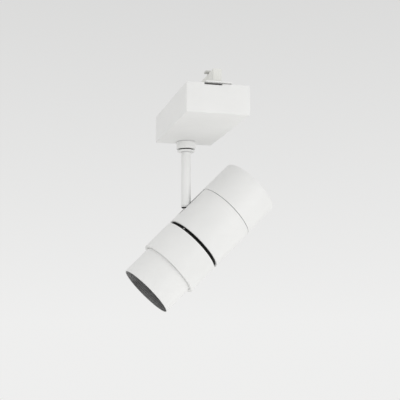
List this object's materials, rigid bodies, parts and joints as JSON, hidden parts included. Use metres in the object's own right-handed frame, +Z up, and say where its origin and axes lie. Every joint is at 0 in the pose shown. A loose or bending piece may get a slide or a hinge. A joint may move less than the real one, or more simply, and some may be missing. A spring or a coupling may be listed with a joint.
{
  "type": "track spotlight",
  "caption": "Track spotlight with a gear box, track adapter, hanging swivel stem and a tilting cylindrical head with a zoom barrel and a telescopic snoot.",
  "frame": {"origin": "centre line of the adapter plate's top face, above the stem's axis, where the lamp seats on the underside of the track", "axes": "X across the track, +Y along the track from the adapter's lever towards the stem, +Z up into the track"},
  "size_m": [0.2152, 0.2265, 0.3103],
  "materials": {
    "white_paint": "satin white powder coat with a fine grain",
    "black_paint": "matt black",
    "dark_baffle": "matt dark grey anti-glare finish",
    "steel": "zinc-plated steel",
    "aluminium": "bare die-cast aluminium",
    "brass": "plain spring brass",
    "white_plastic": "matt white moulded plastic",
    "grey_plastic": "matt grey moulded plastic",
    "phosphor": "yellow phosphor coating",
    "mirror": "vacuum-metallised reflector",
    "glass": "clear polished glass"
  },
  "bodies": {
    "root": {"gear_housing": "white_paint", "gear_cover": "white_paint", "cover_screw_1": "steel", "cover_screw_2": "steel", "cover_screw_3": "steel", "cover_screw_4": "steel", "driver_module": "white_plastic", "terminal_block": "grey_plastic", "adapter_plate": "white_paint", "adapter_neck": "white_plastic", "adapter_screw_1": "steel", "adapter_screw_2": "steel", "earth_contact": "brass", "swivel_bush": "white_plastic", "collar_upper": "white_paint"},
    "lock": {"lock_lever": "white_paint", "lock_shaft": "steel", "lock_cam": "steel"},
    "contacts": {"contact_rotor": "grey_plastic", "contact_phase_1": "brass", "contact_phase_2": "brass", "contact_phase_3": "brass", "contact_neutral": "brass"},
    "stem": {"collar_lower": "white_paint", "swivel_washer": "steel", "swivel_nut": "steel", "stem_tube": "white_paint", "stem_eye": "steel"},
    "head": {"rear_housing": "white_paint", "rear_cap": "white_paint", "cap_screw_1": "steel", "cap_screw_2": "steel", "cap_screw_3": "steel", "pivot_bracket": "steel", "pivot_pin": "steel", "pivot_washer_left": "brass", "pivot_washer_right": "brass", "heat_sink": "aluminium", "core_ring": "black_paint", "core_screw": "steel", "led_board": "white_plastic", "led_emitter": "phosphor", "led_holder": "white_plastic", "reflector": "mirror"},
    "zoom_ring": {"front_barrel": "white_paint"},
    "lens_carriage": {"lens_carriage": "black_paint", "lens": "glass", "lens_retainer": "black_paint"},
    "snoot": {"snoot_tube": "white_paint", "louvre": "dark_baffle", "louvre_ring": "dark_baffle"}
  },
  "joints": [
    {"name": "lock_turn", "type": "hinge", "parent": "root", "child": "lock", "pos_m": [0, -0.146, 0], "axis": [0, 0, 1], "range_deg": [0, 90]},
    {"name": "contact_turn", "type": "hinge", "parent": "root", "child": "contacts", "pos_m": [0, -0.066, 0], "axis": [0, 0, 1], "range_deg": [0, 90]},
    {"name": "pan", "type": "hinge", "parent": "root", "child": "stem", "pos_m": [0, 0, 0], "axis": [0, 0, 1], "range_deg": [-175, 175]},
    {"name": "tilt", "type": "hinge", "parent": "stem", "child": "head", "pos_m": [0, 0, -0.14776], "axis": [0, -1, 0], "range_deg": [-45, 20]},
    {"name": "zoom_turn", "type": "hinge", "parent": "head", "child": "zoom_ring", "pos_m": [0, 0, -0.2015], "axis": [-0.7071, 0, -0.7071], "range_deg": [0, 120]},
    {"name": "focus_slide", "type": "slide", "parent": "head", "child": "lens_carriage", "axis": [-0.7071, 0, -0.7071], "range_m": [0, 0.008]},
    {"name": "snoot_slide", "type": "slide", "parent": "zoom_ring", "child": "snoot", "axis": [-0.7071, 0, -0.7071], "range_m": [-0.024, 0]}
  ],
  "couplings": [
    {"joint": "contact_turn", "follows": "lock_turn", "ratio": 1},
    {"joint": "focus_slide", "follows": "zoom_turn", "m_per_rad": 0.0038}
  ]
}
